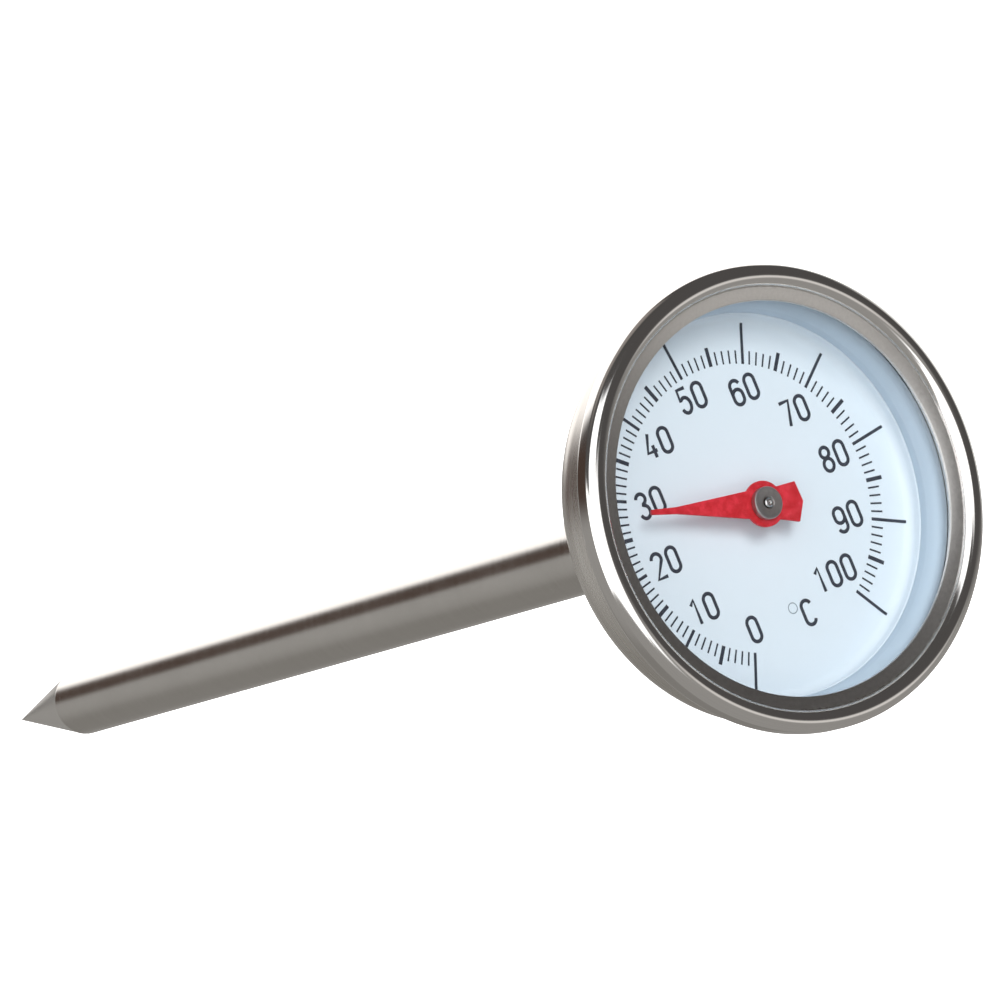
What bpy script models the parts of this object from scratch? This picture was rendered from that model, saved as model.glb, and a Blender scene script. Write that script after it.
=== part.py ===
"""Dial thermometer: a bimetal probe thermometer with a round glass-fronted head.

The origin is the apex of the probe. +Z runs up the stem to the front of the dial, and
+Y is the way up of the numerals. Sizes are in millimetres and are scaled to metres.
"""
import math

import bpy
import bmesh

MM = 0.001

# Driving sizes, in millimetres
DIAL_Z = 166.0            # printed face of the dial above the tip's apex
STEM_RADIUS = 4.0         # outside of the stem tube
STEM_WALL = 0.5
TIP_LENGTH = 17.2         # cone from apex to shoulder
BEAD_RADIUS = 1.2         # rolled edge of the bezel
BEAD_RING = 22.9          # radius of the ring on which the bead's centre runs
BEAD_RISE = 6.67          # centre of the bead's upper arc above the dial
BEAD_FOOT = 5.54          # centre of its lower arc above the dial
BEAD_CREASE = 168.0       # direction, in degrees, where the bead meets the flat band
OPENING_RADIUS = 20.38    # bezel lip round the glass
LIP_RISE = 6.67           # lip above the dial
CASE_RADIUS = 22.5        # outside of the case cup
CASE_DEPTH = 3.9          # outside of the case's back below the dial
CASE_CORNER = 5.0         # outside radius between the case's side and back
SHEET = 0.6               # case wall
BEZEL_SHEET = 0.5
SPINDLE_RADIUS = 0.5
NEEDLE_READING = 162.9    # degrees from +X, counter-clockwise: the needle at rest

# Clearances, in millimetres
SEAM = 0.08               # between turned pieces that rest on each other
RUNNING = 0.06            # radial play of the spindle in its bushes

# Facets round a turned piece
HEAD_SEGMENTS = 48
STEM_SEGMENTS = 32
SMALL_SEGMENTS = 20

STEEL = (0.62, 0.60, 0.57)
PALE_STEEL = (0.72, 0.70, 0.68)
BRASS = (0.72, 0.55, 0.26)
BIMETAL = (0.52, 0.45, 0.38)
WHITE_ENAMEL = (0.80, 0.86, 0.92)
RED_PAINT = (0.62, 0.01, 0.02)
DARK_RUBBER = (0.05, 0.05, 0.05)
CLEAR_GLASS = (0.90, 0.95, 0.96)


def clear_scene():
    for old in list(bpy.data.objects):
        bpy.data.objects.remove(old, do_unlink=True)


def finish_material(name, colour, metallic, roughness, transmission=0.0):
    material = bpy.data.materials.new(name)
    material.use_nodes = True
    shader = material.node_tree.nodes["Principled BSDF"]
    shader.inputs["Base Color"].default_value = (*colour, 1.0)
    shader.inputs["Metallic"].default_value = metallic
    shader.inputs["Roughness"].default_value = roughness
    shader.inputs["Transmission Weight"].default_value = transmission
    return material


def place(name, mesh_data, material):
    """Put a finished bmesh, in metres, into the scene as one named object."""
    bmesh.ops.remove_doubles(mesh_data, verts=mesh_data.verts, dist=0.000001)
    bmesh.ops.recalc_face_normals(mesh_data, faces=mesh_data.faces)
    mesh = bpy.data.meshes.new(name)
    mesh_data.to_mesh(mesh)
    mesh_data.free()
    mesh.shade_smooth()
    mesh.set_sharp_from_angle(angle=math.radians(35))
    mesh.materials.append(material)
    piece = bpy.data.objects.new(name, mesh)
    bpy.context.scene.collection.objects.link(piece)
    return piece


def arc(centre, radius, start, end, steps):
    """Points of a circular arc in the profile plane; angles in degrees from +X."""
    points = []
    for step in range(steps + 1):
        angle = math.radians(start + (end - start) * step / steps)
        points.append((centre[0] + radius * math.cos(angle), centre[1] + radius * math.sin(angle)))
    return points


def turned(name, profile, material, segments, solid=False):
    """Turn a profile of (radius, height) points about the Z axis.

    A ring's profile is a closed outline. A solid's runs from one point on the axis to
    another, and closes on the axis by itself.
    """
    mesh_data = bmesh.new()
    corners = [mesh_data.verts.new((radius * MM, 0.0, height * MM)) for radius, height in profile]
    for first, second in zip(corners, corners[1:]):
        mesh_data.edges.new((first, second))
    if not solid:
        mesh_data.edges.new((corners[-1], corners[0]))
    bmesh.ops.spin(mesh_data, geom=mesh_data.verts[:] + mesh_data.edges[:], cent=(0, 0, 0),
                   axis=(0, 0, 1), angle=math.tau, steps=segments, use_merge=True)
    return place(name, mesh_data, material)


def ring(name, inner, outer, bottom, top, material, segments):
    """A plain turned ring of rectangular section."""
    profile = [(inner, top), (outer, top), (outer, bottom), (inner, bottom)]
    return turned(name, profile, material, segments)


def above_dial(points):
    """Move profile points that are measured from the dial's face up to the dial."""
    return [(radius, DIAL_Z + height) for radius, height in points]


# Heights inside the head, measured from the dial's face
BACK_INSIDE = -CASE_DEPTH + SHEET
CASE_RIM = 6.1
DIAL_SHEET = 0.4
DIAL_FLAT = 18.9          # radius where the dial's edge starts to turn up
DIAL_EDGE_RISE = 1.7
DIAL_EDGE_RADIUS = 19.9
GLASS_BOTTOM = 4.45
GLASS_TOP = 6.1
GLASS_RADIUS = 21.4
GASKET_BOTTOM = 3.95
NEEDLE_BOTTOM = 2.3
NEEDLE_TOP = 2.7
HUB_TOP = 3.5
TUBE_TOP = BACK_INSIDE + 1.1
FLANGE_TOP = BACK_INSIDE + 0.75

# Heights inside the stem, measured from the tip's apex
SPIGOT_TOP = 24.0
ANCHOR_TOP = 27.0
COIL_BOTTOM = 27.4
COIL_TURNS = 12
COIL_PITCH = 2.2
COIL_STRIP_WIDTH = 1.3
COIL_STRIP_THICKNESS = 0.3
COIL_RADIUS = 2.3         # middle of the strip
COLLAR_RADIUS = 1.9
SPINDLE_BOTTOM = 29.0
LOWER_GUIDE_Z = 62.0
MID_GUIDE_Z = 112.0
GUIDE_LENGTH = 5.0
BEARING_LENGTH = 6.0
BORE = STEM_RADIUS - STEM_WALL
SPINDLE_HOLE = SPINDLE_RADIUS + RUNNING


def case_cup():
    """Drawn steel cup: open front, round corner, flat back with a hole for the stem."""
    centre = (CASE_RADIUS - CASE_CORNER, -CASE_DEPTH + CASE_CORNER)
    hole = STEM_RADIUS + SEAM
    outside = [(CASE_RADIUS, CASE_RIM)] + arc(centre, CASE_CORNER, 0, -90, 5) + [(hole, -CASE_DEPTH)]
    inside = [(hole, BACK_INSIDE)] + arc(centre, CASE_CORNER - SHEET, -90, 0, 5)
    inside.append((CASE_RADIUS - SHEET, CASE_RIM))
    steel = finish_material("case_steel", STEEL, 1.0, 0.32)
    turned("case_cup", above_dial(outside + inside), steel, HEAD_SEGMENTS)


def bezel_ring():
    """Ring of sheet steel: a bead rolled over the case's rim, and a flat band to the lip."""
    crest = (BEAD_RING, BEAD_RISE)
    foot = (BEAD_RING, BEAD_FOOT)
    rolled_under = -98.0
    inner_radius = BEAD_RADIUS - BEZEL_SHEET
    outside = [(OPENING_RADIUS, LIP_RISE)] + arc(crest, BEAD_RADIUS, BEAD_CREASE, 0, 10)
    outside += arc(foot, BEAD_RADIUS, 0, rolled_under, 6)
    inside = arc(foot, inner_radius, rolled_under, 0, 5) + arc(crest, inner_radius, 0, 150, 7)
    inside.append((BEAD_RING - inner_radius, LIP_RISE - 0.17))
    inside.append((OPENING_RADIUS, LIP_RISE - BEZEL_SHEET + 0.03))
    steel = finish_material("bezel_steel", PALE_STEEL, 1.0, 0.18)
    turned("bezel_ring", above_dial(outside + inside), steel, HEAD_SEGMENTS)


def window_lens():
    """Flat glass disc behind the bezel's lip, with its edges bevelled off."""
    bevel = 0.25
    profile = [(0.0, GLASS_TOP), (GLASS_RADIUS - bevel, GLASS_TOP),
               (GLASS_RADIUS, GLASS_TOP - bevel), (GLASS_RADIUS, GLASS_BOTTOM + bevel),
               (GLASS_RADIUS - bevel, GLASS_BOTTOM), (0.0, GLASS_BOTTOM)]
    glass = finish_material("clear_glass", CLEAR_GLASS, 0.0, 0.03, transmission=1.0)
    turned("window_lens", above_dial(profile), glass, HEAD_SEGMENTS, solid=True)


def window_seat():
    """The gasket under the glass and the white spacer that holds the glass off the dial."""
    rubber = finish_material("gasket_rubber", DARK_RUBBER, 0.0, 0.7)
    ring("window_gasket", 20.35, 21.4, DIAL_Z + GASKET_BOTTOM, DIAL_Z + GLASS_BOTTOM - SEAM,
         rubber, HEAD_SEGMENTS)
    white = finish_material("spacer_white", WHITE_ENAMEL, 0.0, 0.45)
    ring("spacer_ring", DIAL_EDGE_RADIUS + 0.1, 21.5, DIAL_Z + DIAL_EDGE_RISE + SEAM,
         DIAL_Z + GASKET_BOTTOM - SEAM, white, HEAD_SEGMENTS)


def dial_plate():
    """Dished white plate: flat under the scale, with its edge turned up to the spacer."""
    hole = 0.9
    bend = DIAL_EDGE_RADIUS - DIAL_FLAT
    centre = (DIAL_FLAT, bend)
    face = [(hole, 0.0)] + arc(centre, bend, -90, 0, 4) + [(DIAL_EDGE_RADIUS, DIAL_EDGE_RISE)]
    back = [(DIAL_EDGE_RADIUS + DIAL_SHEET, DIAL_EDGE_RISE)]
    back += arc(centre, bend + DIAL_SHEET, 0, -90, 4) + [(hole, -DIAL_SHEET)]
    white = finish_material("dial_enamel", WHITE_ENAMEL, 0.0, 0.4)
    turned("dial_plate", above_dial(face + back), white, HEAD_SEGMENTS)


def dial_support():
    """Ring on the floor of the case that carries the dial."""
    steel = finish_material("support_steel", STEEL, 1.0, 0.45)
    ring("dial_support_ring", 16.6, 17.9, DIAL_Z + BACK_INSIDE + SEAM, DIAL_Z - DIAL_SHEET - SEAM,
         steel, HEAD_SEGMENTS)


def stem():
    """The tube, its pointed plug, and the flange that ties it to the case's back."""
    steel = finish_material("stem_steel", STEEL, 1.0, 0.34)
    ring("stem_tube", BORE, STEM_RADIUS, TIP_LENGTH + SEAM, DIAL_Z + TUBE_TOP, steel, STEM_SEGMENTS)
    tip_steel = finish_material("tip_steel", STEEL, 1.0, 0.36)
    spigot = BORE - SEAM
    socket = 1.3
    profile = [(0.0, TIP_LENGTH + 1.0), (socket, TIP_LENGTH + 1.0), (socket, SPIGOT_TOP),
               (spigot, SPIGOT_TOP), (spigot, TIP_LENGTH), (STEM_RADIUS, TIP_LENGTH), (0.0, 0.0)]
    turned("stem_tip", profile, tip_steel, STEM_SEGMENTS, solid=True)
    ring("stem_flange", STEM_RADIUS + SEAM, 7.0, DIAL_Z + BACK_INSIDE + SEAM, DIAL_Z + FLANGE_TOP,
         steel, STEM_SEGMENTS)


def bushes():
    """Bearing at the tube's mouth and two guides that keep the spindle straight."""
    brass = finish_material("bush_brass", BRASS, 1.0, 0.35)
    mouth = DIAL_Z + TUBE_TOP
    outer = BORE - SEAM
    profile = [(SPINDLE_HOLE, mouth + 0.6), (STEM_RADIUS - 0.2, mouth + 0.6),
               (STEM_RADIUS - 0.2, mouth + SEAM), (outer, mouth + SEAM),
               (outer, mouth - BEARING_LENGTH), (SPINDLE_HOLE, mouth - BEARING_LENGTH)]
    turned("upper_bearing", profile, brass, SMALL_SEGMENTS)
    for name, bottom in (("mid_guide", MID_GUIDE_Z), ("lower_guide", LOWER_GUIDE_Z)):
        ring(name, SPINDLE_HOLE, outer - 0.05, bottom, bottom + GUIDE_LENGTH, brass, SMALL_SEGMENTS)


def bimetal_coil():
    """Helical bimetal strip between the anchor at the tip and the collar on the spindle."""
    bimetal = finish_material("bimetal_strip", BIMETAL, 1.0, 0.4)
    steps_per_turn = 16
    steps = COIL_TURNS * steps_per_turn
    half_width = COIL_STRIP_WIDTH / 2
    half_thickness = COIL_STRIP_THICKNESS / 2
    section = [(-half_thickness, -half_width), (half_thickness, -half_width),
               (half_thickness, half_width), (-half_thickness, half_width)]
    mesh_data = bmesh.new()
    rows = []
    for step in range(steps + 1):
        angle = math.tau * step / steps_per_turn
        height = COIL_BOTTOM + half_width + COIL_PITCH * step / steps_per_turn
        row = []
        for offset, rise in section:
            reach = (COIL_RADIUS + offset) * MM
            row.append(mesh_data.verts.new(
                (reach * math.cos(angle), reach * math.sin(angle), (height + rise) * MM)))
        rows.append(row)
    for lower, upper in zip(rows, rows[1:]):
        for side in range(len(section)):
            after = (side + 1) % len(section)
            mesh_data.faces.new((lower[side], lower[after], upper[after], upper[side]))
    mesh_data.faces.new(rows[0])
    mesh_data.faces.new(rows[-1])
    place("bimetal_coil", mesh_data, bimetal)
    return COIL_BOTTOM + COIL_STRIP_WIDTH + COIL_PITCH * COIL_TURNS


def coil_ends(coil_top):
    """Fixed anchor under the coil, and the collar that the coil turns at its top."""
    steel = finish_material("anchor_steel", STEEL, 1.0, 0.4)
    profile = [(0.0, ANCHOR_TOP), (2.9, ANCHOR_TOP), (2.9, SPIGOT_TOP + SEAM),
               (1.2, SPIGOT_TOP + SEAM), (1.2, TIP_LENGTH + 1.2), (0.0, TIP_LENGTH + 1.2)]
    turned("coil_anchor", profile, steel, SMALL_SEGMENTS, solid=True)
    brass = finish_material("collar_brass", BRASS, 1.0, 0.35)
    profile = [(SPINDLE_RADIUS + SEAM, coil_top + 3.2), (COLLAR_RADIUS, coil_top + 3.2),
               (COLLAR_RADIUS, coil_top + 1.6), (2.9, coil_top + 1.6), (2.9, coil_top + 0.4),
               (SPINDLE_RADIUS + SEAM, coil_top + 0.4)]
    turned("coil_collar", profile, brass, SMALL_SEGMENTS)


def spindle():
    """Thin shaft from the coil to the needle, with the collar that hangs it on its bearing."""
    steel = finish_material("spindle_steel", PALE_STEEL, 1.0, 0.25)
    top = DIAL_Z + HUB_TOP + 0.15
    chamfer = 0.12
    profile = [(0.0, top), (SPINDLE_RADIUS - chamfer, top), (SPINDLE_RADIUS, top - chamfer),
               (SPINDLE_RADIUS, SPINDLE_BOTTOM), (0.0, SPINDLE_BOTTOM)]
    turned("spindle", profile, steel, SMALL_SEGMENTS, solid=True)
    mouth = DIAL_Z + TUBE_TOP + 0.6
    ring("thrust_collar", SPINDLE_RADIUS + SEAM, 1.5, mouth + 0.1, mouth + 0.8, steel, SMALL_SEGMENTS)


# The needle's outline, in millimetres from the spindle's axis
NEEDLE_REACH = 13.8
NEEDLE_TIP_HALF = 0.30
NEEDLE_KNEE = (10.7, 0.36)
NEEDLE_ROOT = (3.1, 1.3)
NEEDLE_DISC = 2.4
TAIL_CORNER = (-4.06, 2.1)
TAIL_PEAK = -4.8


def needle():
    """Painted sheet needle with a disc at its middle and a peaked tail, turned to its reading."""
    root_angle = 37.0
    neck_angle = 135.0
    one_side = [(NEEDLE_REACH, NEEDLE_TIP_HALF), NEEDLE_KNEE, NEEDLE_ROOT]
    one_side += arc((0.0, 0.0), NEEDLE_DISC, root_angle, neck_angle, 6) + [TAIL_CORNER]
    other_side = [(along, -across) for along, across in reversed(one_side)]
    outline = one_side + [(TAIL_PEAK, 0.0)] + other_side
    hole = arc((0.0, 0.0), SPINDLE_RADIUS + SEAM, 0, 360 - 360 / SMALL_SEGMENTS, SMALL_SEGMENTS - 1)
    turn = math.radians(NEEDLE_READING)
    mesh_data = bmesh.new()
    for loop in (outline, hole):
        corners = []
        for along, across in loop:
            x = along * math.cos(turn) - across * math.sin(turn)
            y = along * math.sin(turn) + across * math.cos(turn)
            corners.append(mesh_data.verts.new((x * MM, y * MM, (DIAL_Z + NEEDLE_BOTTOM) * MM)))
        for first, second in zip(corners, corners[1:] + corners[:1]):
            mesh_data.edges.new((first, second))
    bmesh.ops.triangle_fill(mesh_data, edges=mesh_data.edges[:], use_beauty=True)
    raised = bmesh.ops.extrude_face_region(mesh_data, geom=mesh_data.faces[:])
    top_corners = [item for item in raised["geom"] if isinstance(item, bmesh.types.BMVert)]
    bmesh.ops.translate(mesh_data, verts=top_corners, vec=(0, 0, (NEEDLE_TOP - NEEDLE_BOTTOM) * MM))
    red = finish_material("needle_red", RED_PAINT, 0.0, 0.5)
    place("needle", mesh_data, red)


def needle_hubs():
    """Steel washer on the needle's face and the sleeve behind it, both on the spindle."""
    steel = finish_material("hub_steel", STEEL, 1.0, 0.4)
    bore = SPINDLE_RADIUS + SEAM
    edge = 0.2
    profile = [(bore, HUB_TOP), (1.7 - edge, HUB_TOP), (1.7, HUB_TOP - edge),
               (1.7, NEEDLE_TOP + SEAM), (bore, NEEDLE_TOP + SEAM)]
    turned("needle_hub", above_dial(profile), steel, SMALL_SEGMENTS)
    ring("needle_sleeve", bore, 1.2, DIAL_Z + 0.5, DIAL_Z + NEEDLE_BOTTOM - SEAM, steel,
         SMALL_SEGMENTS)


def main():
    clear_scene()
    case_cup()
    bezel_ring()
    window_lens()
    window_seat()
    dial_plate()
    dial_support()
    stem()
    bushes()
    coil_ends(bimetal_coil())
    spindle()
    needle()
    needle_hubs()


main()
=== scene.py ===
"""Finished look of a bimetal dial thermometer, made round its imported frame.

The stem stands on the Z axis with its point at the origin, and the dial faces +Z with its
numerals upright along +Y. Every new piece is turned, drawn or extruded at its final place.
"""
import math

import bpy
from mathutils import Matrix, Vector


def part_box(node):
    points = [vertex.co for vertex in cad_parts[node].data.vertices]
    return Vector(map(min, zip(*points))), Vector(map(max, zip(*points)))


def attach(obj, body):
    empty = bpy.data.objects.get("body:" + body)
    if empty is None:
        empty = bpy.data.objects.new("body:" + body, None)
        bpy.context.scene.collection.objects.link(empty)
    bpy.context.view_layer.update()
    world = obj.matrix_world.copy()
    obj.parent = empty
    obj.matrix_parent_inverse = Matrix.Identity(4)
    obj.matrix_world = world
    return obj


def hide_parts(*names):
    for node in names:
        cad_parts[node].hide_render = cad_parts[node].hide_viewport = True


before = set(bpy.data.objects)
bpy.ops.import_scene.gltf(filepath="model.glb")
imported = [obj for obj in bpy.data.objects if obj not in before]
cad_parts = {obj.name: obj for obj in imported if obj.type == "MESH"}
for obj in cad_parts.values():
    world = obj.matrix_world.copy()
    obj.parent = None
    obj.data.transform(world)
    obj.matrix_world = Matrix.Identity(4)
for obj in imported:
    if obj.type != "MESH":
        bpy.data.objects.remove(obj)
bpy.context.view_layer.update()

bl_info = {
    "name": "Dial thermometer",
    "version": (1, 0, 0),
    "blender": (4, 5, 0),
    "location": "3D View > Sidebar > Thermometer",
    "description": "Builds the finished pieces of a bimetal dial thermometer and its studio",
    "category": "Add Mesh",
}

MM = 0.001
FULL_TURN = math.tau
FIXED = "housing"
MOVING = "needle_assembly"

# Steps round a turned piece
ROUND_STEPS = 192
BEZEL_STEPS = 256
SMALL_STEPS = 64


# ---------------------------------------------------------------- sizes from the frame

def outer_radius(node):
    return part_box(node)[1].x


def top_of(node):
    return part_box(node)[1].z


def bottom_of(node):
    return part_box(node)[0].z


DIAL_SHEET = 0.4 * MM
DIAL_FACE = bottom_of("dial_plate") + DIAL_SHEET


def length(name, description, default):
    return bpy.props.FloatProperty(name=name, description=description, default=default,
                                   unit="LENGTH", precision=5)


def angle(name, description, degrees):
    return bpy.props.FloatProperty(name=name, description=description,
                                   default=math.radians(degrees), unit="ROTATION",
                                   subtype="ANGLE")


def colour(name, description, default):
    return bpy.props.FloatVectorProperty(name=name, description=description, default=default,
                                         subtype="COLOR", size=3, min=0.0, max=1.0)


class HeadSizes(bpy.types.PropertyGroup):
    """Case, bezel and window. Rises are measured from the printed face of the dial."""
    case_radius: length("Case radius", "Outside of the case cup", outer_radius("case_cup"))
    case_corner: length("Case corner", "Radius between the case's side and back", 5.0 * MM)
    case_wall: length("Case wall", "Sheet thickness of the case", 0.6 * MM)
    case_back: length("Case back", "Rise of the case's back", bottom_of("case_cup") - DIAL_FACE)
    case_rim: length("Case rim", "Rise of the case's open rim", top_of("case_cup") - DIAL_FACE)
    bead_radius: length("Bead radius", "Radius of the bezel's rolled bead", 1.2 * MM)
    bead_depth: length("Bead depth", "Straight side between the bead's two arcs", 1.13 * MM)
    bezel_wall: length("Bezel wall", "Sheet thickness of the bezel", 0.5 * MM)
    lip_radius: length("Lip radius", "Opening of the bezel", 20.38 * MM)
    glass_bevel: length("Glass bevel", "Bevel round the window's edges", 0.25 * MM)


class DialSizes(bpy.types.PropertyGroup):
    """The dished dial, its scale and its numerals."""
    flat_radius: length("Flat radius", "Where the dial starts to turn up", 18.9 * MM)
    edge_radius: length("Edge radius", "Inside of the dial's turned-up edge", 19.9 * MM)
    hole_radius: length("Hole radius", "Hole for the spindle", 0.9 * MM)
    ink: length("Ink", "Thickness of the printed ink", 0.02 * MM)
    tick_inner: length("Tick inner radius", "Inner end of every tick", 15.0 * MM)
    degree_tick: length("Degree tick", "Outer end of a one degree tick", 16.4 * MM)
    five_tick: length("Five degree tick", "Outer end of a five degree tick", 17.0 * MM)
    ten_tick: length("Ten degree tick", "Outer end of a ten degree tick", 19.35 * MM)
    degree_width: length("Degree width", "Width of a one degree tick", 0.19 * MM)
    five_width: length("Five degree width", "Width of a five degree tick", 0.42 * MM)
    ten_width: length("Ten degree width", "Width of a ten degree tick", 0.33 * MM)
    zero_angle: angle("Zero", "Direction of the scale's zero from +X", -114.7)
    stroke: length("Stroke", "Width of a numeral's stroke", 0.39 * MM)
    numeral_half: length("Numeral half width", "Half of a numeral between stroke centres",
                         0.61 * MM)
    numeral_height: length("Numeral height", "Numeral between stroke centres", 2.59 * MM)
    numeral_pitch: length("Numeral pitch", "From one numeral to the next", 1.93 * MM)
    letter_across: length("Letter across", "Middle of the Celsius letter, along X", 1.76 * MM)
    letter_down: length("Letter down", "Middle of the Celsius letter, below the hub", 12.3 * MM)
    ring_across: length("Ring across", "Middle of the degree ring, along X", 0.15 * MM)
    ring_down: length("Ring down", "Middle of the degree ring, below the hub", 11.2 * MM)
    ring_radius: length("Ring radius", "Radius of the degree ring", 0.55 * MM)
    ring_stroke: length("Ring stroke", "Width of the degree ring's line", 0.12 * MM)


class NeedleSizes(bpy.types.PropertyGroup):
    """The painted needle and the washer that holds it."""
    reading: angle("Reading", "Direction of the needle from +X", 162.9)
    reach: length("Reach", "From the spindle to the needle's point", 13.8 * MM)
    point_half: length("Point half width", "Half of the needle's point", 0.26 * MM)
    knee_reach: length("Knee reach", "Where the blade narrows to its point", 10.7 * MM)
    knee_half: length("Knee half width", "Half of the blade at the knee", 0.36 * MM)
    root_reach: length("Root reach", "Where the blade leaves the disc", 3.1 * MM)
    root_half: length("Root half width", "Half of the blade at its root", 1.3 * MM)
    tail_reach: length("Tail reach", "From the spindle to the tail's corners", 4.06 * MM)
    tail_half: length("Tail half width", "Half of the tail at its corners", 2.1 * MM)
    tail_peak: length("Tail peak", "From the spindle to the tail's peak", 4.8 * MM)
    disc_radius: length("Disc radius", "Disc at the needle's middle", 2.4 * MM)
    hole_radius: length("Hole radius", "Hole for the spindle", 0.58 * MM)
    edge: length("Edge", "Rounding of the needle's stamped edges", 0.06 * MM)
    hub_radius: length("Hub radius", "Outside of the hub washer", outer_radius("needle_hub"))
    spindle_radius: length("Spindle radius", "Outside of the spindle", outer_radius("spindle"))


class StemSizes(bpy.types.PropertyGroup):
    """The probe."""
    radius: length("Stem radius", "Outside of the stem tube", outer_radius("stem_tube"))
    wall: length("Stem wall", "Wall of the stem tube", 0.5 * MM)
    point: length("Point", "Length of the probe's cone", 17.2 * MM)


class FinishColours(bpy.types.PropertyGroup):
    """Colours of the finishes."""
    bezel: colour("Bezel steel", "Polished stainless steel", (0.78, 0.765, 0.745))
    stem: colour("Stem steel", "Satin stainless steel", (0.76, 0.74, 0.71))
    case: colour("Case steel", "Satin steel of the case", (0.76, 0.735, 0.70))
    enamel: colour("Dial enamel", "Cool white of the dial", (0.76, 0.835, 0.90))
    # The inner wall is white like the dial; this colour is kept darker than the enamel as
    # painted shade for the shade the wall lies in below the bezel.
    wall: colour("Inner wall", "Cool white of the wall round the dial", (0.50, 0.60, 0.70))
    ink: colour("Ink", "Blue-black of the scale", (0.030, 0.034, 0.048))
    pale_ink: colour("Pale ink", "Grey of the degree sign", (0.24, 0.29, 0.33))
    red: colour("Needle red", "Paint on the needle", (0.60, 0.008, 0.016))
    hub: colour("Hub steel", "Dull steel of the hub washer", (0.42, 0.395, 0.38))
    brass: colour("Brass", "Bushes and collar", (0.75, 0.56, 0.27))
    bimetal: colour("Bimetal", "The coiled strip", (0.50, 0.42, 0.35))


class StudioSizes(bpy.types.PropertyGroup):
    """Camera and light."""
    lens: bpy.props.FloatProperty(name="Lens", description="Focal length in millimetres",
                                  default=224.06)
    sensor: bpy.props.FloatProperty(name="Sensor", description="Sensor width in millimetres",
                                    default=36.0)
    key_power: bpy.props.FloatProperty(name="Key power", description="Power of the key light",
                                       default=2.9, unit="POWER")
    key_size: length("Key size", "Diameter of the key light", 0.36)
    key_distance: length("Key distance", "From the dial to the key light", 0.7)
    floor_reach: length("Floor reach", "Radius of the floor", 6.0)
    floor_gap: length("Floor gap", "Air between the probe's point and the floor", 0.2 * MM)


# ---------------------------------------------------------------- node wiring

class Wire:
    """An output socket; arithmetic on it adds the Math nodes."""

    def __init__(self, board, socket):
        self.board = board
        self.socket = socket

    def __add__(self, other):
        return self.board.math("ADD", self, other)

    def __radd__(self, other):
        return self.board.math("ADD", other, self)

    def __sub__(self, other):
        return self.board.math("SUBTRACT", self, other)

    def __rsub__(self, other):
        return self.board.math("SUBTRACT", other, self)

    def __mul__(self, other):
        return self.board.math("MULTIPLY", self, other)

    def __rmul__(self, other):
        return self.board.math("MULTIPLY", other, self)


class Board:
    """A node tree, and the few ways in which nodes are added to it."""

    def __init__(self, tree):
        self.tree = tree

    def node(self, kind, settings=None, inputs=None, output=0):
        """Add any node: its settings first, then the values or wires of its sockets."""
        made = self.tree.nodes.new(kind)
        for setting, value in (settings or {}).items():
            if setting == "stops":
                self.set_stops(made.color_ramp.elements, value)
            else:
                setattr(made, setting, value)
        for key, value in (inputs or {}).items():
            self.feed(made.inputs[key], value)
        return Wire(self, made.outputs[output]) if made.outputs else None

    def feed(self, socket, value):
        if isinstance(value, Wire):
            self.tree.links.new(value.socket, socket)
        else:
            socket.default_value = value

    def set_stops(self, elements, stops):
        for index, (place, shade) in enumerate(stops):
            element = elements[index] if index < 2 else elements.new(place)
            element.position = place
            element.color = (*shade, 1.0)

    def math(self, operation, *values):
        return self.node("ShaderNodeMath", {"operation": operation}, dict(enumerate(values)))

    def ease(self, value, low, high):
        """0 below low, 1 above high, and smooth between."""
        return self.node("ShaderNodeMapRange", {"interpolation_type": "SMOOTHSTEP"},
                         {"Value": value, "From Min": low, "From Max": high})

    def blend(self, mask, first, second):
        """From the first colour to the second as the mask goes from 0 to 1."""
        inputs = {0: mask, 6: rgba(first), 7: rgba(second)}
        return self.node("ShaderNodeMix", {"data_type": "RGBA"}, inputs, output=2)

    def noise(self, vector, scale, detail=2.0, roughness=0.5):
        return self.node("ShaderNodeTexNoise", None,
                         {"Vector": vector, "Scale": scale, "Detail": detail,
                          "Roughness": roughness})

    def joined(self, x, y, z):
        return self.node("ShaderNodeCombineXYZ", None, {0: x, 1: y, 2: z})


def rgba(shade):
    return shade if isinstance(shade, Wire) else (*shade, 1.0)


class Finish(Board):
    """A material with its shader, and the coordinates that its patterns use."""

    def __init__(self, name):
        self.material = bpy.data.materials.new(name)
        self.material.use_nodes = True
        super().__init__(self.material.node_tree)
        self.shader = self.tree.nodes["Principled BSDF"]
        self.place = self.node("ShaderNodeTexCoord", output=3)
        self.x, self.y, self.z = self.split(self.place)

    def split(self, vector):
        parts = self.node("ShaderNodeSeparateXYZ", None, {0: vector}).socket.node.outputs
        return [Wire(self, parts[index]) for index in range(3)]

    def radius(self):
        return self.math("SQRT", self.x * self.x + self.y * self.y)

    def bearing(self):
        return self.math("ARCTAN2", self.y, self.x)

    def surface(self, **values):
        """Set the shader's sockets by name, with underscores for spaces."""
        for name, value in values.items():
            socket = self.shader.inputs[name.replace("_", " ")]
            if not isinstance(value, Wire) and socket.type == "RGBA":
                value = rgba(value)
            self.feed(socket, value)

    def bump(self, height, strength, depth):
        self.surface(Normal=self.node("ShaderNodeBump", None,
                                      {"Strength": strength, "Distance": depth,
                                       "Height": height}))

    def dress(self, *pieces):
        for piece in pieces:
            piece.data.materials.clear()
            piece.data.materials.append(self.material)


def shaded(shade, amount):
    return tuple(channel * amount for channel in shade)


# ---------------------------------------------------------------- modelling by operator

def start_clean():
    if bpy.context.object and bpy.context.object.mode != "OBJECT":
        bpy.ops.object.mode_set(mode="OBJECT")
    bpy.ops.object.select_all(action="DESELECT")


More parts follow.
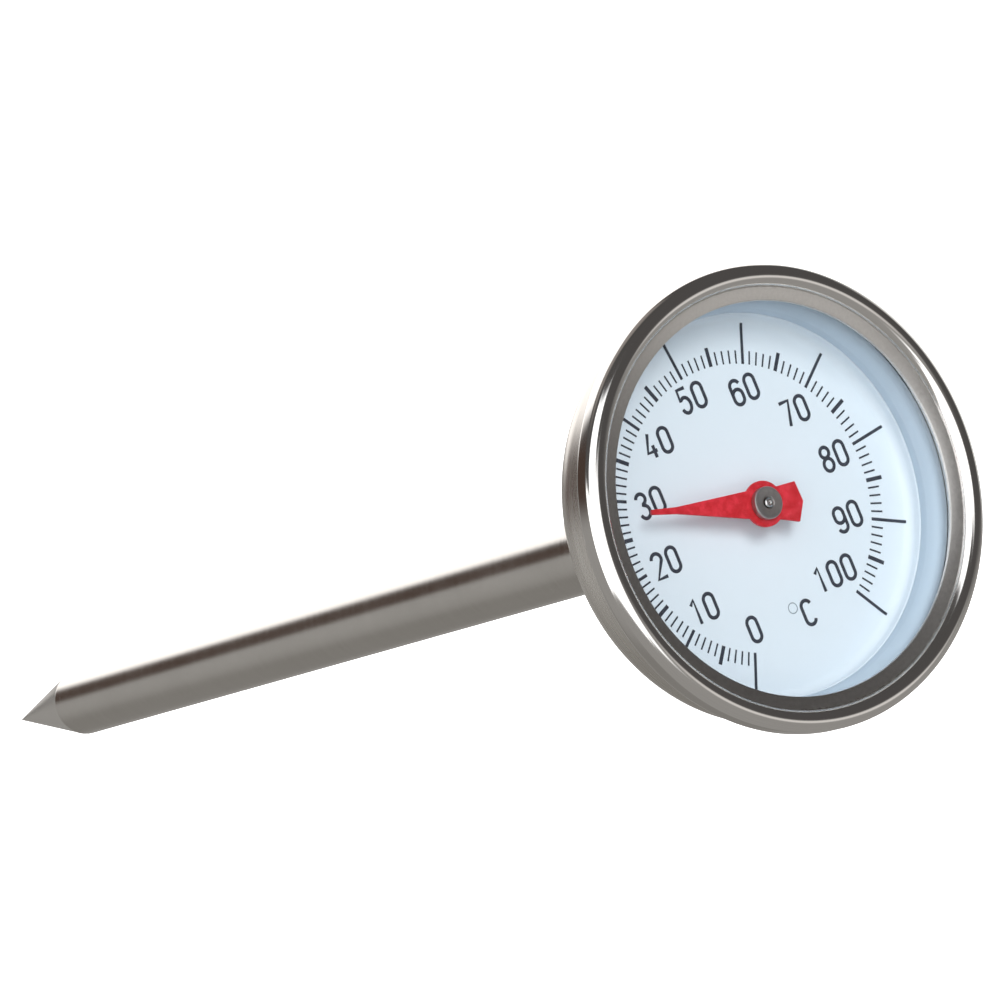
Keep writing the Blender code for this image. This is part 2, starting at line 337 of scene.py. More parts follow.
def start_edit(name):
    """Start a mesh in edit mode, with its origin at the world's and a small plane selected."""
    start_clean()
    bpy.ops.mesh.primitive_plane_add(size=MM, location=(0, 0, 0))
    piece = bpy.context.object
    piece.name = name
    piece.data.name = name
    bpy.ops.object.mode_set(mode="EDIT")
    return piece


def draw_line(points):
    """In edit mode: turn the selected plane into one corner, and draw it from point to point."""
    bpy.ops.mesh.merge(type="CENTER")
    here = Vector(points[0])
    bpy.ops.transform.translate(value=here)
    for point in points[1:]:
        step = Vector(point) - here
        bpy.ops.mesh.extrude_region_move(TRANSFORM_OT_translate={"value": step})
        here = Vector(point)


def tidy_shell():
    bpy.ops.mesh.select_all(action="SELECT")
    bpy.ops.mesh.remove_doubles(threshold=0.5e-6)
    bpy.ops.mesh.normals_make_consistent(inside=False)


def finish_piece(piece, smooth_degrees=30.0):
    bpy.ops.object.mode_set(mode="OBJECT")
    bpy.ops.object.shade_smooth_by_angle(angle=math.radians(smooth_degrees))
    return piece


def arc(centre, radius, start, end, steps):
    """Points of an arc in a profile; degrees from the outward direction."""
    points = []
    for step in range(steps + 1):
        turn = math.radians(start + (end - start) * step / steps)
        points.append((centre[0] + radius * math.cos(turn), centre[1] + radius * math.sin(turn)))
    return points


def turn_piece(name, outline, steps=ROUND_STEPS, solid=False, smooth_degrees=30.0):
    """Turn an outline of (radius, height) about Z. A solid's outline ends on the axis."""
    points = [(radius, 0.0, height) for radius, height in outline]
    if not solid:
        points.append(points[0])
    piece = start_edit(name)
    draw_line(points)
    bpy.ops.mesh.select_all(action="SELECT")
    bpy.ops.mesh.spin(steps=steps, angle=FULL_TURN, center=(0, 0, 0), axis=(0, 0, 1))
    tidy_shell()
    return finish_piece(piece, smooth_degrees)


def raised(points, level):
    return [(radius, level + height) for radius, height in points]


# ---------------------------------------------------------------- finishes

def steel_finish(name, shade, roughness, grain_depth, across):
    """Stainless steel with fine turned marks that run round the Z axis."""
    steel = Finish(name)
    round_it = steel.bearing()
    fine = steel.noise(steel.joined(steel.radius() * across, round_it * 0.6, steel.z * across),
                       1.0, 3.0, 0.6)
    cloudy = steel.noise(steel.place, 90.0, 3.0, 0.55)
    tint = steel.blend(fine * 0.5 + cloudy * 0.5, shaded(shade, 0.90), shaded(shade, 1.08))
    steel.surface(Base_Color=tint, Metallic=1.0,
                  Roughness=roughness + (fine - 0.5) * 0.10 + (cloudy - 0.5) * 0.08)
    steel.bump(fine, 0.35, grain_depth)
    return steel


def bezel_finish(colours, head):
    """Polished bead, and a duller band inside the crease, scratched along the crease."""
    steel = Finish("polished_bezel_steel")
    out = steel.radius()
    crease = outer_radius("bezel_ring") - 2.0 * head.bead_radius + 0.04 * MM
    scratch = steel.noise(steel.joined(out * 2600.0, steel.bearing() * 9.0, steel.z * 500.0),
                          1.0, 4.0, 0.7)
    speck = steel.noise(steel.place, 2600.0, 3.0, 0.7)
    edge = out + (scratch - 0.5) * (0.35 * MM)
    bead = steel.ease(edge, crease - 0.05 * MM, crease + 0.05 * MM)
    turned = steel.noise(steel.joined(out * 9000.0, steel.bearing() * 0.8, steel.z * 9000.0),
                         1.0, 2.0, 0.5)
    band_tint = steel.blend(speck, shaded(colours.bezel, 0.72), shaded(colours.bezel, 0.95))
    bead_tint = steel.blend(turned, shaded(colours.bezel, 0.96), shaded(colours.bezel, 1.04))
    steel.surface(Base_Color=steel.blend(bead, band_tint, bead_tint), Metallic=1.0,
                  Roughness=0.24 + speck * 0.14 - bead * (0.16 + speck * 0.10) + turned * 0.03)
    steel.bump(speck * (1.0 - bead) + turned * 0.12, 0.25, 0.02 * MM)
    return steel


def enamel_finish(name, shade, roughness):
    enamel = Finish(name)
    cloudy = enamel.noise(enamel.place, 160.0, 4.0, 0.6)
    speck = enamel.noise(enamel.place, 2400.0, 2.0, 0.6)
    enamel.surface(Base_Color=enamel.blend(cloudy, shaded(shade, 0.985), shaded(shade, 1.01)),
                   Roughness=roughness + (speck - 0.5) * 0.12)
    enamel.bump(speck, 0.15, 0.01 * MM)
    return enamel


def ink_finish(name, shade):
    ink = Finish(name)
    patchy = ink.noise(ink.place, 1500.0, 4.0, 0.65)
    ink.surface(Base_Color=ink.blend(patchy, shaded(shade, 0.7), shaded(shade, 1.5)),
                Roughness=0.5 + (patchy - 0.5) * 0.2)
    return ink


def glass_finish():
    """Clear window: see-through, with the gloss of its two faces."""
    glass = Finish("window_glass")
    glass.surface(Base_Color=(1.0, 1.0, 1.0), Roughness=0.03, Metallic=1.0)
    smear = glass.noise(glass.place, 70.0, 2.0, 0.5)
    facing = glass.node("ShaderNodeFresnel", None, {"IOR": 1.5})
    clear = glass.node("ShaderNodeBsdfTransparent", None, {"Color": (0.985, 0.993, 0.995, 1.0)})
    gloss = Wire(glass, glass.shader.outputs[0])
    mixed = glass.node("ShaderNodeMixShader", None,
                       {0: facing * (0.5 + smear * 0.2), 1: clear, 2: gloss})
    output = glass.tree.nodes["Material Output"]
    glass.feed(output.inputs["Surface"], mixed)
    return glass


def red_finish(shade):
    """Thick red paint with a mottled, slightly furry skin."""
    red = Finish("needle_red_paint")
    mottle = red.noise(red.place, 900.0, 4.0, 0.7)
    grain = red.noise(red.place, 4200.0, 3.0, 0.65)
    deep = red.blend(red.ease(mottle, 0.35, 0.7), shaded(shade, 0.86), (0.72, 0.030, 0.050))
    red.surface(Base_Color=deep, Roughness=0.52 + (grain - 0.5) * 0.25)
    red.bump(grain * 0.6 + mottle * 0.4, 0.5, 0.05 * MM)
    return red


def hub_finish(shade):
    """Dull steel with concentric turning marks."""
    steel = Finish("turned_hub_steel")
    rings = steel.math("SINE", steel.radius() * (FULL_TURN / (0.22 * MM)))
    patchy = steel.noise(steel.place, 2500.0, 3.0, 0.65)
    steel.surface(Base_Color=steel.blend(patchy, shaded(shade, 0.75), shaded(shade, 1.35)),
                  Metallic=1.0, Roughness=0.42 + (patchy - 0.5) * 0.2)
    steel.bump(rings * 0.5 + patchy, 0.4, 0.02 * MM)
    return steel


def inner_metal(name, shade, roughness):
    metal = Finish(name)
    patchy = metal.noise(metal.place, 600.0, 4.0, 0.6)
    lines = metal.noise(metal.joined(metal.x * 40.0, metal.y * 40.0, metal.z * 5000.0), 1.0, 2.0)
    metal.surface(Base_Color=metal.blend(patchy, shaded(shade, 0.85), shaded(shade, 1.1)),
                  Metallic=1.0, Roughness=roughness + (lines - 0.5) * 0.2)
    metal.bump(lines, 0.2, 0.01 * MM)
    return metal


# ---------------------------------------------------------------- the numerals' strokes

def oval(x, y, half_width, half_height, start, end, steps=14):
    """Points round an oval; degrees from +X, counter-clockwise."""
    points = []
    for step in range(steps + 1):
        turn = math.radians(start + (end - start) * step / steps)
        points.append((x + half_width * math.cos(turn), y + half_height * math.sin(turn)))
    return points


def glyph_strokes(glyph, half, height):
    """The centre lines of one glyph, about its middle."""
    tall = height / 2
    bend = tall - half
    top = oval(0, bend, half, half, 0, 180)
    if glyph == "0":
        return [top + oval(0, -bend, half, half, 180, 360) + top[:1]]
    if glyph == "1":
        return [[(-half * 0.62, tall * 0.62), (half * 0.22, tall), (half * 0.22, -tall)]]
    if glyph == "2":
        hook = oval(0, bend, half, half, 172, -22)
        return [hook + [(-half, -tall), (half, -tall)]]
    if glyph == "3":
        upper = oval(0, bend + half * 0.1, half * 0.94, half * 0.92, 165, -80)
        lower = oval(0, -bend * 0.88, half, half * 1.12, 88, -165)
        return [upper + lower]
    if glyph == "4":
        return [[(half * 0.2, tall), (-half, -tall * 0.46), (half, -tall * 0.46)],
                [(half * 0.42, tall * 0.02), (half * 0.42, -tall)]]
    if glyph == "5":
        bowl = oval(0, -bend * 0.68, half, tall - bend * 0.68, 130, -160)
        return [[(half * 0.86, tall), (-half * 0.8, tall), (-half * 0.86, tall * 0.12)] + bowl]
    if glyph in "69":
        bowl_top = oval(0, -bend * 0.42, half, half, 180, 0)
        bowl = bowl_top + oval(0, -bend, half, half, 0, -180) + bowl_top[:1]
        hook = [(-half, -bend * 0.42)] + oval(0, bend, half, half, 180, 18)
        strokes = [bowl, hook]
        if glyph == "9":
            strokes = [[(-x, -y) for x, y in stroke] for stroke in strokes]
        return strokes
    if glyph == "7":
        return [[(-half, tall), (half, tall), (-half * 0.25, -tall)]]
    if glyph == "8":
        upper = oval(0, bend + half * 0.06, half * 0.9, half * 0.94, -90, 270, 20)
        lower = oval(0, -bend * 0.9, half, tall - bend * 0.9, 90, -270, 20)
        return [upper + lower]
    if glyph == "C":
        return [oval(0, bend, half, half, 15, 180) + oval(0, -bend, half, half, 180, 345)]
    raise ValueError(f"no strokes for {glyph}")


# Middle of each printed number, as a share of the ticks' inner radius
NUMBER_REACH = {0: 0.84, 10: 0.83, 20: 0.817, 30: 0.81, 40: 0.835, 50: 0.858,
                60: 0.822, 70: 0.805, 80: 0.814, 90: 0.80, 100: 0.79}
DEGREES_PER_UNIT = 2.917
DEGREES_PER_SQUARE = 0.00098


def scale_angle(dial, reading):
    """Direction of a reading on the dial; the scale runs clockwise and opens slightly."""
    swept = DEGREES_PER_UNIT * reading + DEGREES_PER_SQUARE * reading * reading
    return dial.zero_angle - math.radians(swept)


def ink_lines(name, lines, stroke, dial):
    """Draw flat strokes with cut ends on the dial from centre lines of (x, y)."""
    start_edit(name)
    middle = DIAL_FACE + dial.ink * 0.5
    for index, line in enumerate(lines):
        if index:
            bpy.ops.mesh.select_all(action="DESELECT")
            bpy.ops.mesh.primitive_plane_add(size=MM, location=(0, 0, 0))
        draw_line([(x, y, middle) for x, y in line])
    bpy.ops.object.mode_set(mode="OBJECT")
    bpy.ops.object.convert(target="CURVE")
    curve = bpy.context.object.data
    curve.dimensions = "3D"
    curve.bevel_depth = stroke / 2
    curve.bevel_resolution = 2
    curve.use_fill_caps = True
    bpy.ops.object.convert(target="MESH")
    piece = bpy.context.object
    bpy.ops.object.mode_set(mode="EDIT")
    bpy.ops.mesh.select_all(action="SELECT")
    bpy.ops.transform.resize(value=(1, 1, dial.ink / stroke), center_override=(0, 0, middle))
    bpy.ops.mesh.normals_make_consistent(inside=False)
    finish_piece(piece)
    piece.name = name
    return piece


# ---------------------------------------------------------------- operators

class BuildPiece:
    """What every operator of this file shares."""
    bl_options = {"REGISTER", "UNDO"}

    def execute(self, context):
        self.build(context.scene)
        start_clean()
        return {"FINISHED"}


def join_body(piece, body, replaces=()):
    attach(piece, body)
    if replaces:
        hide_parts(*replaces)


class THERMOMETER_OT_case(BuildPiece, bpy.types.Operator):
    """Drawn steel cup behind the bezel"""
    bl_idname = "thermometer.case"
    bl_label = "Case"

    def build(self, scene):
        head = scene.head_sizes
        hole = scene.stem_sizes.radius + 0.08 * MM
        middle = (head.case_radius - head.case_corner, head.case_back + head.case_corner)
        floor = head.case_back + head.case_wall
        outline = [(head.case_radius - 0.1 * MM, head.case_rim),
                   (head.case_radius, head.case_rim - 0.1 * MM)]
        outline += arc(middle, head.case_corner, 0, -90, 24)
        outline += [(hole + 0.3 * MM, head.case_back), (hole, head.case_back + 0.2 * MM)]
        outline += [(hole, floor)]
        outline += arc(middle, head.case_corner - head.case_wall, -90, 0, 16)
        outline += [(head.case_radius - head.case_wall, head.case_rim)]
        case = turn_piece("case_shell", raised(outline, DIAL_FACE))
        steel_finish("satin_case_steel", scene.finish_colours.case, 0.27, 0.01 * MM,
                     3000.0).dress(case)
        join_body(case, FIXED, ["case_cup"])


class THERMOMETER_OT_bezel(BuildPiece, bpy.types.Operator):
    """Rolled steel bezel with a flat band inside its crease"""
    bl_idname = "thermometer.bezel"
    bl_label = "Bezel"

    def build(self, scene):
        head = scene.head_sizes
        bead = head.bead_radius
        ring = outer_radius("bezel_ring") - bead
        crest = (ring, top_of("bezel_ring") - bead)
        foot = (ring, crest[1] - head.bead_depth)
        inner = bead - head.bezel_wall
        lip = crest[1]
        edge = head.lip_radius
        outline = [(edge, lip - 0.34 * MM), (edge, lip - 0.10 * MM),
                   (edge + 0.03 * MM, lip - 0.03 * MM), (edge + 0.10 * MM, lip)]
        outline += arc(crest, bead, 168, 0, 44) + arc(foot, bead, 0, -98, 22)
        outline += arc(foot, inner, -98, 0, 10) + arc(crest, inner, 0, 150, 16)
        outline += [(ring - inner, lip - 0.17 * MM), (edge + 0.4 * MM, lip - 0.42 * MM),
                    (edge + 0.08 * MM, lip - 0.42 * MM)]
        bezel = turn_piece("bezel", outline, steps=BEZEL_STEPS)
        bezel_finish(scene.finish_colours, head).dress(bezel)
        join_body(bezel, FIXED, ["bezel_ring"])


class THERMOMETER_OT_window(BuildPiece, bpy.types.Operator):
    """Flat glass disc behind the lip"""
    bl_idname = "thermometer.window"
    bl_label = "Window"

    def build(self, scene):
        reach = outer_radius("window_lens")
        top = top_of("window_lens")
        bottom = bottom_of("window_lens")
        cut = scene.head_sizes.glass_bevel
        outline = [(0.0, top), (reach - cut, top), (reach, top - cut),
                   (reach, bottom + cut), (reach - cut, bottom), (0.0, bottom)]
        window = turn_piece("window_glass", outline, solid=True, smooth_degrees=10)
        glass_finish().dress(window)
        join_body(window, FIXED, ["window_lens"])


class THERMOMETER_OT_wall(BuildPiece, bpy.types.Operator):
    """White wall between the dial's edge and the glass"""
    bl_idname = "thermometer.wall"
    bl_label = "Inner wall"

    def build(self, scene):
        bottom = bottom_of("spacer_ring")
        top = top_of("window_gasket")
        inner = scene.dial_sizes.edge_radius + 0.1 * MM
        outer = outer_radius("spacer_ring")
        shoulder = outer - 0.2 * MM
        outline = [(inner, bottom)]
        for step in range(17):
            turn = math.radians(90.0 * step / 16)
            outline.append((shoulder - (shoulder - inner) * math.cos(turn),
                            bottom + (top - bottom) * (0.3 + 0.7 * math.sin(turn))))
        outline += [(outer, top), (outer, bottom)]
        wall = turn_piece("inner_wall", outline)
        # The wall's colour is painted shade: darker than the dial's white enamel.
        enamel_finish("wall_white_painted_shade", scene.finish_colours.wall, 0.5).dress(wall)
        join_body(wall, FIXED, ["spacer_ring", "window_gasket"])


class THERMOMETER_OT_dial(BuildPiece, bpy.types.Operator):
    """Dished white dial"""
    bl_idname = "thermometer.dial"
    bl_label = "Dial"

    def build(self, scene):
        dial = scene.dial_sizes
        bend = dial.edge_radius - dial.flat_radius
        rise = top_of("dial_plate") - DIAL_FACE
        middle = (dial.flat_radius, bend)
        lip = 0.08 * MM
        outline = [(dial.hole_radius, 0.0)] + arc(middle, bend, -90, 0, 16)
        outline += [(dial.edge_radius, rise - lip), (dial.edge_radius + lip, rise),
                    (dial.edge_radius + DIAL_SHEET, rise)]
        outline += arc(middle, bend + DIAL_SHEET, 0, -90, 12) + [(dial.hole_radius, -DIAL_SHEET)]
        plate = turn_piece("dial_face", raised(outline, DIAL_FACE), smooth_degrees=40)
        enamel_finish("dial_enamel", scene.finish_colours.enamel, 0.42).dress(plate)
        join_body(plate, FIXED, ["dial_plate"])


class THERMOMETER_OT_scale(BuildPiece, bpy.types.Operator):
    """Printed ticks, one for each degree"""
    bl_idname = "thermometer.scale"
    bl_label = "Scale"

    def build(self, scene):
        dial = scene.dial_sizes
        ticks = start_edit("scale_ticks")
        bpy.ops.mesh.delete(type="VERT")
        top = DIAL_FACE + dial.ink
        for reading in range(101):
            outer, width, cuts = dial.degree_tick, dial.degree_width, 0
            if reading % 10 == 0:
                outer, width, cuts = dial.ten_tick, dial.ten_width, 7
            elif reading % 5 == 0:
                outer, width, cuts = dial.five_tick, dial.five_width, 0
            reach = outer - dial.tick_inner
            bpy.ops.mesh.primitive_plane_add(size=1.0, location=(0, 0, 0))
            bpy.ops.transform.resize(value=(reach, width, 1.0), center_override=(0, 0, 0))
            if cuts:
                bpy.ops.mesh.subdivide(number_cuts=cuts)
            bpy.ops.transform.translate(value=(dial.tick_inner + reach / 2, 0, top))
            bpy.ops.transform.rotate(value=-scale_angle(dial, reading), orient_axis="Z",
                                     center_override=(0, 0, 0))
            bpy.ops.mesh.select_all(action="DESELECT")
        bpy.ops.object.mode_set(mode="OBJECT")
        follow = ticks.modifiers.new("follow_dial", "SHRINKWRAP")
        follow.target = bpy.data.objects["dial_face"]
        follow.wrap_method = "PROJECT"
        follow.use_project_z = True
        follow.use_negative_direction = True
        follow.use_positive_direction = True
        follow.offset = dial.ink
        bpy.ops.object.modifier_apply(modifier=follow.name)
        thicken = ticks.modifiers.new("ink_thickness", "SOLIDIFY")
        thicken.thickness = dial.ink * 0.8
        thicken.offset = -1.0
        bpy.ops.object.modifier_apply(modifier=thicken.name)
        ink_finish("scale_ink", scene.finish_colours.ink).dress(ticks)
        join_body(ticks, FIXED)


class THERMOMETER_OT_numerals(BuildPiece, bpy.types.Operator):
    """Printed numbers and the sign for degrees Celsius"""
    bl_idname = "thermometer.numerals"
    bl_label = "Numerals"

    def build(self, scene):
        dial = scene.dial_sizes
        finish = ink_finish("numeral_ink", scene.finish_colours.ink)
        for number, share in NUMBER_REACH.items():
            turn = scale_angle(dial, number)
            reach = share * dial.tick_inner
            middle = (reach * math.cos(turn), reach * math.sin(turn))
            lines = []
            text = str(number)
            for place, digit in enumerate(text):
                shift = (place - (len(text) - 1) / 2) * dial.numeral_pitch
                for stroke in glyph_strokes(digit, dial.numeral_half, dial.numeral_height):
                    lines.append([(x + middle[0] + shift, y + middle[1]) for x, y in stroke])
            piece = ink_lines(f"numeral_{number}", lines, dial.stroke, dial)
            finish.dress(piece)
            join_body(piece, FIXED)
        strokes = glyph_strokes("C", dial.numeral_half, dial.numeral_height)
        letter = [[(x + dial.letter_across, y - dial.letter_down) for x, y in line]
                  for line in strokes]
        sign = ink_lines("celsius_letter", letter, dial.stroke, dial)
        finish.dress(sign)
        join_body(sign, FIXED)
        ring = oval(dial.ring_across, -dial.ring_down, dial.ring_radius, dial.ring_radius,
                    0, 360, 32)
        degree = ink_lines("degree_ring", [ring], dial.ring_stroke, dial)
        ink_finish("degree_ink", scene.finish_colours.pale_ink).dress(degree)
        join_body(degree, FIXED)


class THERMOMETER_OT_needle(BuildPiece, bpy.types.Operator):
    """Painted sheet needle"""
    bl_idname = "thermometer.needle"
    bl_label = "Needle"

    def build(self, scene):
        sizes = scene.needle_sizes
        bottom = bottom_of("needle")
        thick = top_of("needle") - bottom
        side = [(sizes.reach, sizes.point_half), (sizes.knee_reach, sizes.knee_half),
                (sizes.root_reach, sizes.root_half)]
        side += oval(0, 0, sizes.disc_radius, sizes.disc_radius, 37, 135, 24)
        side += [(-sizes.tail_reach, sizes.tail_half)]
        outline = side + [(-sizes.tail_peak, 0.0)] + [(x, -y) for x, y in reversed(side)]
        hole = oval(0, 0, sizes.hole_radius, sizes.hole_radius, 0, 360, 32)
        piece = start_edit("needle_blade")
        draw_line([(x, y, bottom) for x, y in outline + outline[:1]])
        bpy.ops.mesh.select_all(action="DESELECT")
        bpy.ops.mesh.primitive_plane_add(size=MM, location=(0, 0, 0))
        draw_line([(x, y, bottom) for x, y in hole])
        bpy.ops.mesh.select_all(action="SELECT")
        bpy.ops.mesh.remove_doubles(threshold=0.5e-6)
        bpy.ops.mesh.fill(use_beauty=True)
        bpy.ops.mesh.select_all(action="SELECT")
        bpy.ops.mesh.extrude_region_move(TRANSFORM_OT_translate={"value": (0, 0, thick)})
        bpy.ops.mesh.select_all(action="SELECT")
        bpy.ops.transform.rotate(value=-sizes.reading, orient_axis="Z",
                                 center_override=(0, 0, 0))
        tidy_shell()
        bpy.ops.mesh.select_all(action="DESELECT")
        bpy.ops.mesh.edges_select_sharp(sharpness=math.radians(60))
        bpy.ops.mesh.bevel(offset=sizes.edge, segments=3, affect="EDGES")
        finish_piece(piece, 40.0)
        red_finish(scene.finish_colours.red).dress(piece)
        join_body(piece, MOVING, ["needle"])


class THERMOMETER_OT_hub(BuildPiece, bpy.types.Operator):
    """Turned washer on the needle, and the spindle through it"""
    bl_idname = "thermometer.hub"
    bl_label = "Hub"

    def build(self, scene):
        sizes = scene.needle_sizes
        top = top_of("needle_hub")
        bottom = bottom_of("needle_hub")
        outer = sizes.hub_radius
        bore = sizes.hole_radius
        outline = [(bore, bottom), (bore, top - 0.16 * MM), (bore + 0.14 * MM, top - 0.05 * MM)]
        outline += [(outer - 0.35 * MM, top - 0.03 * MM)]
        outline += arc((outer - 0.16 * MM, top - 0.16 * MM), 0.16 * MM, 90, 0, 6)
        outline += [(outer, bottom)]
        hub = turn_piece("hub_washer", outline, steps=SMALL_STEPS)
        hub_finish(scene.finish_colours.hub).dress(hub)
        join_body(hub, MOVING, ["needle_hub"])
        low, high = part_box("spindle")
        shaft = sizes.spindle_radius
        outline = [(0.0, high.z - 0.10 * MM), (0.12 * MM, high.z - 0.10 * MM),
                   (0.2 * MM, high.z), (shaft - 0.12 * MM, high.z),
                   (shaft, high.z - 0.12 * MM), (shaft, low.z), (0.0, low.z)]
        pin = turn_piece("spindle_shaft", outline, steps=SMALL_STEPS, solid=True)
        steel_finish("spindle_steel", scene.finish_colours.bezel, 0.22, 0.005 * MM,
                     9000.0).dress(pin)
        join_body(pin, MOVING, ["spindle"])


class THERMOMETER_OT_probe(BuildPiece, bpy.types.Operator):
    """Stem tube and its pointed end"""
    bl_idname = "thermometer.probe"
    bl_label = "Probe"

    def build(self, scene):
        stem = scene.stem_sizes
        bore = stem.radius - stem.wall
        top = top_of("stem_tube")
        outline = [(bore, stem.point + 0.005 * MM), (stem.radius, stem.point + 0.005 * MM)]
        outline += [(stem.radius, top), (bore, top)]
        tube = turn_piece("probe_tube", outline)
        satin = steel_finish("satin_stem_steel", scene.finish_colours.stem, 0.20, 0.02 * MM,
                             4200.0)
        satin.dress(tube)
        join_body(tube, FIXED, ["stem_tube"])
        plug = top_of("stem_tip")
        socket = 1.3 * MM
        outline = [(0.0, stem.point + MM), (socket, stem.point + MM), (socket, plug),
                   (bore - 0.08 * MM, plug), (bore - 0.08 * MM, stem.point),
                   (stem.radius, stem.point), (stem.radius - 0.03 * MM, stem.point - 0.25 * MM),
                   (stem.radius - 0.11 * MM, stem.point - 0.5 * MM)]
        outline += [(0.06 * MM, 0.22 * MM), (0.0, 0.0)]
        point = turn_piece("probe_point", outline, solid=True, smooth_degrees=20)
        satin.dress(point)
        join_body(point, FIXED, ["stem_tip"])


class THERMOMETER_OT_works(BuildPiece, bpy.types.Operator):
    """Finishes of the parts inside the case and the stem"""
    bl_idname = "thermometer.works"
    bl_label = "Inner works"

    def build(self, scene):
        colours = scene.finish_colours
        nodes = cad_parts
        inner_metal("bush_brass", colours.brass, 0.35).dress(
            nodes["upper_bearing"], nodes["mid_guide"], nodes["lower_guide"],
            nodes["coil_collar"])
        inner_metal("bimetal_strip", colours.bimetal, 0.4).dress(nodes["bimetal_coil"])
        inner_metal("plain_steel", colours.case, 0.4).dress(
            nodes["dial_support_ring"], nodes["stem_flange"], nodes["coil_anchor"],
            nodes["thrust_collar"], nodes["needle_sleeve"])


# ---------------------------------------------------------------- studio

CAMERA_PLACE = Vector((-0.3610, 0.0465, 0.6898))
CAMERA_AIM = Vector((-0.0194, 0.0105, 0.1529))
STUDIO_RIGHT = Vector((0.7685, -0.3804, 0.5145))
STUDIO_UP = Vector((0.3495, 0.9231, 0.1606))
STUDIO_FRONT = Vector((-0.5360, 0.0564, 0.8423))

KEY_DIRECTION = STUDIO_RIGHT * 0.30 + STUDIO_UP * 0.52 + STUDIO_FRONT * 0.80


class LightPatch:
    """A soft-edged patch of the room: its middle and half size in degrees, and its light."""

    def __init__(self, across, up, half_across, half_up, edge, light):
        self.across = across
        self.up = up
        self.half_across = half_across
        self.half_up = half_up
        self.edge = edge
        self.light = light


FLOOR_LIGHT = (0.33, 0.32, 0.305)
CEILING_LIGHT = (0.085, 0.08, 0.078)
ROOM = (
    LightPatch(-120, 52, 30, 22, 10, (0.31, 0.28, 0.26)),
    LightPatch(-158, -36, 30, 14, 8, (0.24, 0.23, 0.215)),
    LightPatch(-162, 24, 33, 18, 4, (1.55, 1.5, 1.46)),
    LightPatch(148, 20, 27, 15, 7, (0.9, 0.9, 0.88)),
    LightPatch(66, -5, 20, 8, 6, (0.80, 0.77, 0.74)),
    LightPatch(8, 0, 22, 22, 6, (1.9, 1.9, 1.9)),
    LightPatch(-28, 24, 32, 22, 5, (2.0, 2.02, 2.05)),
    LightPatch(-45, -12, 52, 18, 4, (2.6, 2.6, 2.6)),
    LightPatch(-122, 5, 14, 9, 5, (0.07, 0.045, 0.035)),
)


def make_room(scene):
    """The room that the steel reflects; the camera itself sees plain white."""
    world = bpy.data.worlds.new("studio")
    scene.world = world
    world.use_nodes = True
    board = Board(world.node_tree)
    board.tree.nodes.clear()
    way = board.node("ShaderNodeTexCoord", output=0)

    def along(axis):
        return board.node("ShaderNodeVectorMath", {"operation": "DOT_PRODUCT"},
                          {0: way, 1: axis}, output=1)

    degrees = 180.0 / math.pi
    lift = board.math("ARCSINE", along(STUDIO_UP)) * degrees
    across = board.math("ARCTAN2", along(STUDIO_RIGHT), along(STUDIO_FRONT)) * degrees
    shade = board.blend(board.ease(lift, -8.0, 14.0), FLOOR_LIGHT, CEILING_LIGHT)
    for panel in ROOM:
        off = board.math("ABSOLUTE", board.math("WRAP", across - panel.across, 180.0, -180.0))
        high = board.math("ABSOLUTE", lift - panel.up)
        sides = 1.0 - board.ease(off, panel.half_across - panel.edge,
                                 panel.half_across + panel.edge)
        ends = 1.0 - board.ease(high, panel.half_up - panel.edge, panel.half_up + panel.edge)
        shade = board.blend(sides * ends, shade, panel.light)
    seen = board.node("ShaderNodeLightPath")
    mixed = board.blend(seen, shade, (1.0, 1.0, 1.0))
    sky = board.node("ShaderNodeBackground", None, {"Color": mixed})
    board.node("ShaderNodeOutputWorld", None, {"Surface": sky})


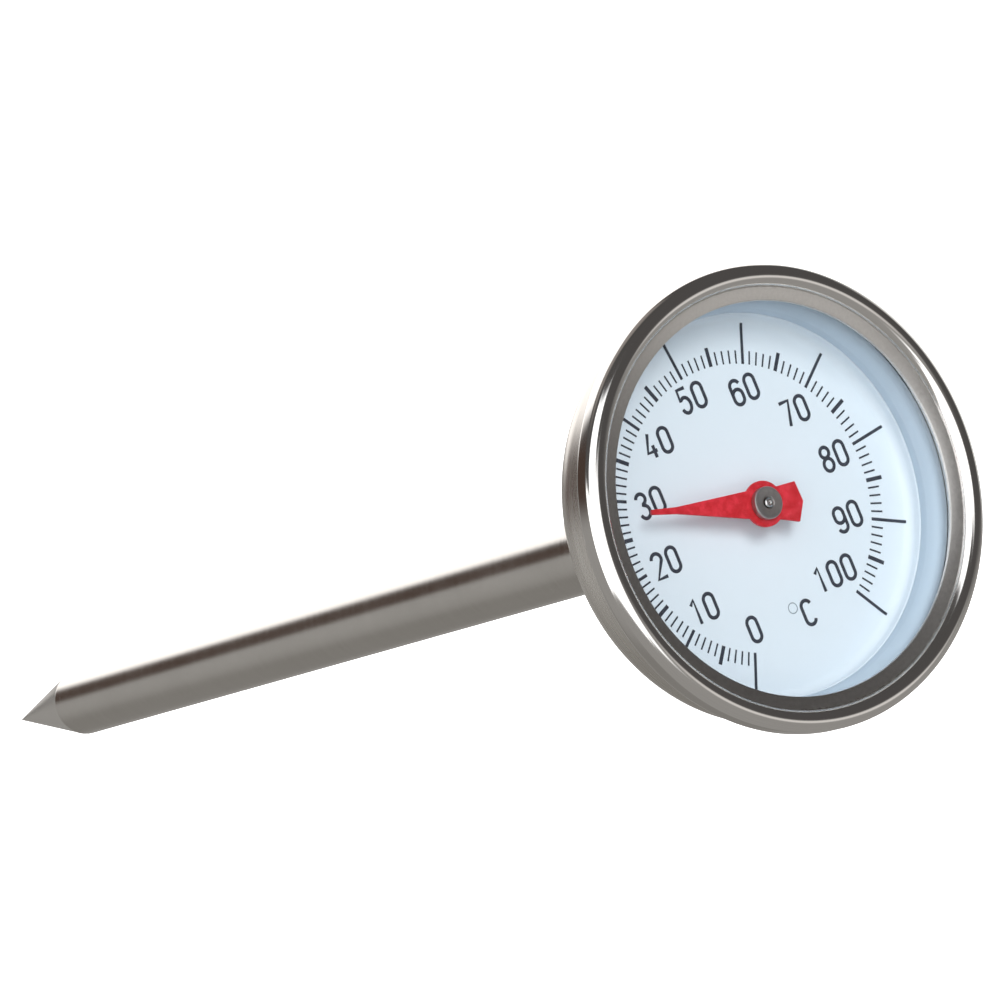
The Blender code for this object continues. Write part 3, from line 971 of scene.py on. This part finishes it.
class THERMOMETER_OT_studio(BuildPiece, bpy.types.Operator):
    """Pale floor, soft light and the camera"""
    bl_idname = "thermometer.studio"
    bl_label = "Studio"

    def build(self, scene):
        studio = scene.studio_sizes
        scene.view_settings.view_transform = "Standard"
        make_room(scene)
        start_clean()
        bpy.ops.mesh.primitive_circle_add(vertices=96, radius=studio.floor_reach,
                                          fill_type="NGON", location=(0, 0, 0))
        floor = bpy.context.object
        floor.name = "studio_floor"
        floor.location.z = -studio.floor_gap
        pale = Finish("pale_floor")
        pale.surface(Base_Color=(0.9, 0.9, 0.9), Roughness=0.9, Emission_Strength=1.0,
                     Emission_Color=(1.0, 1.0, 1.0))
        pale.dress(floor)
        floor.visible_glossy = False
        floor.visible_diffuse = False
        floor.visible_shadow = False
        aim = Vector((0, 0, DIAL_FACE))
        toward = KEY_DIRECTION.normalized()
        bpy.ops.object.light_add(type="AREA", location=aim + toward * studio.key_distance)
        key = bpy.context.object
        key.name = "key_light"
        key.data.shape = "DISK"
        key.data.size = studio.key_size
        key.data.energy = studio.key_power
        key.rotation_euler = toward.to_track_quat("Z", "Y").to_euler()
        key.visible_glossy = False
        key.visible_camera = False
        bpy.ops.object.camera_add(location=CAMERA_PLACE)
        camera = bpy.context.object
        back = (CAMERA_PLACE - CAMERA_AIM).normalized()
        right = STUDIO_UP.cross(back).normalized()
        rise = back.cross(right)
        turn = Matrix((right, rise, back)).transposed()
        camera.matrix_world = Matrix.Translation(CAMERA_PLACE) @ turn.to_4x4()
        camera.data.lens = studio.lens
        camera.data.sensor_width = studio.sensor
        camera.data.clip_start = 0.01
        camera.data.clip_end = 50.0
        scene.camera = camera


PIECES = (
    THERMOMETER_OT_studio, THERMOMETER_OT_case, THERMOMETER_OT_bezel,
    THERMOMETER_OT_window, THERMOMETER_OT_wall, THERMOMETER_OT_dial,
    THERMOMETER_OT_scale, THERMOMETER_OT_numerals, THERMOMETER_OT_needle,
    THERMOMETER_OT_hub, THERMOMETER_OT_probe, THERMOMETER_OT_works,
)
SETTINGS = {
    "head_sizes": HeadSizes,
    "dial_sizes": DialSizes,
    "needle_sizes": NeedleSizes,
    "stem_sizes": StemSizes,
    "finish_colours": FinishColours,
    "studio_sizes": StudioSizes,
}


class THERMOMETER_PT_panel(bpy.types.Panel):
    """Lists the thermometer's pieces"""
    bl_idname = "THERMOMETER_PT_panel"
    bl_label = "Dial thermometer"
    bl_space_type = "VIEW_3D"
    bl_region_type = "UI"
    bl_category = "Thermometer"

    def draw(self, context):
        for piece in PIECES:
            self.layout.operator(piece.bl_idname)
        for group in SETTINGS:
            sizes = getattr(context.scene, group)
            box = self.layout.box()
            for field in sizes.__annotations__:
                box.prop(sizes, field)


def register():
    for name, group in SETTINGS.items():
        bpy.utils.register_class(group)
        setattr(bpy.types.Scene, name, bpy.props.PointerProperty(type=group))
    for piece in PIECES:
        bpy.utils.register_class(piece)
    bpy.utils.register_class(THERMOMETER_PT_panel)


def unregister():
    bpy.utils.unregister_class(THERMOMETER_PT_panel)
    for piece in reversed(PIECES):
        bpy.utils.unregister_class(piece)
    for name, group in SETTINGS.items():
        delattr(bpy.types.Scene, name)
        bpy.utils.unregister_class(group)


def main():
    register()
    for piece in PIECES:
        family, action = piece.bl_idname.split(".")
        getattr(getattr(bpy.ops, family), action)()


if __name__ == "__main__":
    main()
